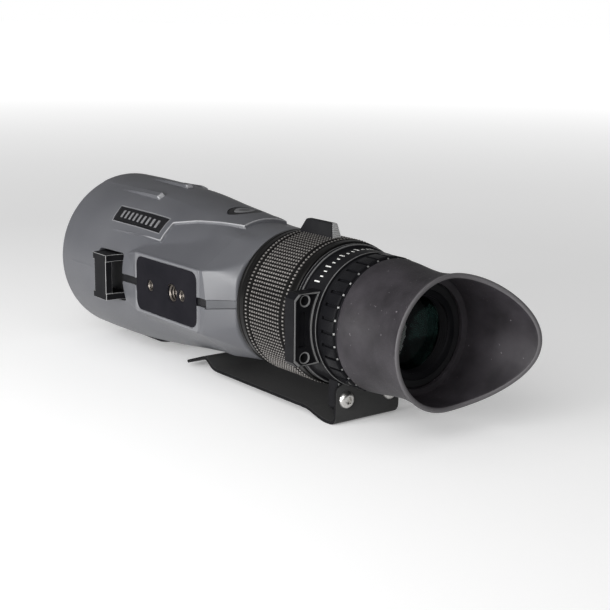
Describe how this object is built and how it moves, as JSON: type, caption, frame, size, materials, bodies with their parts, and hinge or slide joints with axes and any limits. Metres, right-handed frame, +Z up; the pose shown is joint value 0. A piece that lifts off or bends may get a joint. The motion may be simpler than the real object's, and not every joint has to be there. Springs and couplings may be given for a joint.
{
  "type": "spotting scope",
  "caption": "Straight hand-held spotting scope with rubber armour, focus ring with a fin, diopter ring, winged eyecup, belt clip, strap lugs and flat mounting plates.",
  "frame": {"origin": "centre of the objective rim, on the optical axis", "axes": "+Y along the optical axis towards the target, +Z up through the focus fin, +X to the right of a user looking through the eyepiece"},
  "size_m": [0.073, 0.215, 0.068],
  "materials": {
    "armour_rubber": "matte, fine grained rubber armour, blue-grey",
    "chassis_aluminium": "black anodised, matt",
    "plate_aluminium": "black anodised, bead blasted",
    "lug_aluminium": "black anodised, satin",
    "collar_aluminium": "black anodised, satin",
    "focus_aluminium": "graphite anodised, knurled",
    "fin_plastic": "matt, rear face light grey",
    "retainer_aluminium": "black anodised, matt",
    "clip_steel": "black oxide spring steel, satin",
    "bright_steel": "plain stainless steel",
    "black_steel": "black oxide",
    "cam_brass": "turned, greased",
    "coated_glass": "green anti-reflection coating",
    "prism_glass": "polished, uncoated sides",
    "seal_rubber": "smooth",
    "eyecup_rubber": "soft, matt, warm dark grey",
    "sleeve_plastic": "moulded",
    "badge_plastic": "gloss black, plain",
    "trim_rubber": "matt black"
  },
  "bodies": {
    "scope_body": {"armour_shell": "armour_rubber", "main_tube": "chassis_aluminium", "objective_cell": "chassis_aluminium", "light_baffle": "chassis_aluminium", "prism_cage": "chassis_aluminium", "reticle_cell": "chassis_aluminium", "eyepiece_housing": "chassis_aluminium", "left_mounting_plate": "plate_aluminium", "right_mounting_plate": "plate_aluminium", "bottom_mounting_plate": "plate_aluminium", "left_strap_lug": "lug_aluminium", "right_strap_lug": "lug_aluminium", "accessory_collar": "collar_aluminium", "objective_bezel": "collar_aluminium", "objective_retaining_ring": "retainer_aluminium", "prism_retainer": "retainer_aluminium", "reticle_lock_ring": "retainer_aluminium", "clip_flange": "clip_steel", "clip_screws": "bright_steel", "prism_screws": "bright_steel", "collar_grub_screws": "black_steel", "objective_front_lens": "coated_glass", "objective_rear_lens": "coated_glass", "reticle_glass": "coated_glass", "pechan_half_prism": "prism_glass", "roof_prism": "prism_glass", "objective_o_ring": "seal_rubber", "housing_o_ring": "seal_rubber", "side_badges": "badge_plastic", "top_oval_plate": "badge_plastic", "seam_inlays": "trim_rubber", "grip_strips": "trim_rubber"},
    "focus": {"focus_ring": "focus_aluminium", "focus_fin": "fin_plastic", "focus_cam_sleeve": "cam_brass", "focus_grub_screws": "black_steel"},
    "focus_lens_group": {"focus_carriage": "chassis_aluminium", "focus_lens": "coated_glass", "focus_lens_ring": "retainer_aluminium", "focus_pin": "bright_steel", "focus_carriage_o_ring": "seal_rubber"},
    "diopter": {"diopter_ring": "collar_aluminium"},
    "ocular": {"ocular_barrel": "chassis_aluminium", "field_lens_ring": "retainer_aluminium", "field_lens": "coated_glass", "front_ocular_spacer": "retainer_aluminium", "middle_lens": "coated_glass", "rear_ocular_spacer": "retainer_aluminium", "eye_lens": "coated_glass", "ocular_retaining_ring": "retainer_aluminium", "ocular_pin": "bright_steel"},
    "eyecup": {"eyecup_sleeve": "sleeve_plastic", "eyecup": "eyecup_rubber"},
    "clip": {"clip_blade": "clip_steel"}
  },
  "joints": [
    {"name": "focus_turn", "type": "hinge", "parent": "scope_body", "child": "focus", "pos_m": [0, -0.134, 0], "axis": [0, 1, 0], "range_deg": [-110, 110]},
    {"name": "focus_lens_slide", "type": "slide", "parent": "scope_body", "child": "focus_lens_group", "axis": [0, 1, 0], "range_m": [-0.002, 0.002]},
    {"name": "diopter_turn", "type": "hinge", "parent": "scope_body", "child": "diopter", "pos_m": [0, -0.166, 0], "axis": [0, 1, 0], "range_deg": [-60, 60]},
    {"name": "ocular_slide", "type": "slide", "parent": "scope_body", "child": "ocular", "axis": [0, 1, 0], "range_m": [-0.0012, 0.0012]},
    {"name": "eyecup_turn", "type": "hinge", "parent": "scope_body", "child": "eyecup", "pos_m": [0, -0.181, 0], "axis": [0, 1, 0], "continuous": true},
    {"name": "clip_flex", "type": "hinge", "parent": "scope_body", "child": "clip", "pos_m": [0, -0.1574, -0.0348], "axis": [-1, 0, 0], "range_deg": [0, 4], "stiffness_Nm_per_rad": 6, "springref_deg": -1.15}
  ],
  "couplings": [
    {"joint": "focus_lens_slide", "follows": "focus_turn", "m_per_rad": -0.00104},
    {"joint": "ocular_slide", "follows": "diopter_turn", "m_per_rad": -0.001145}
  ]
}
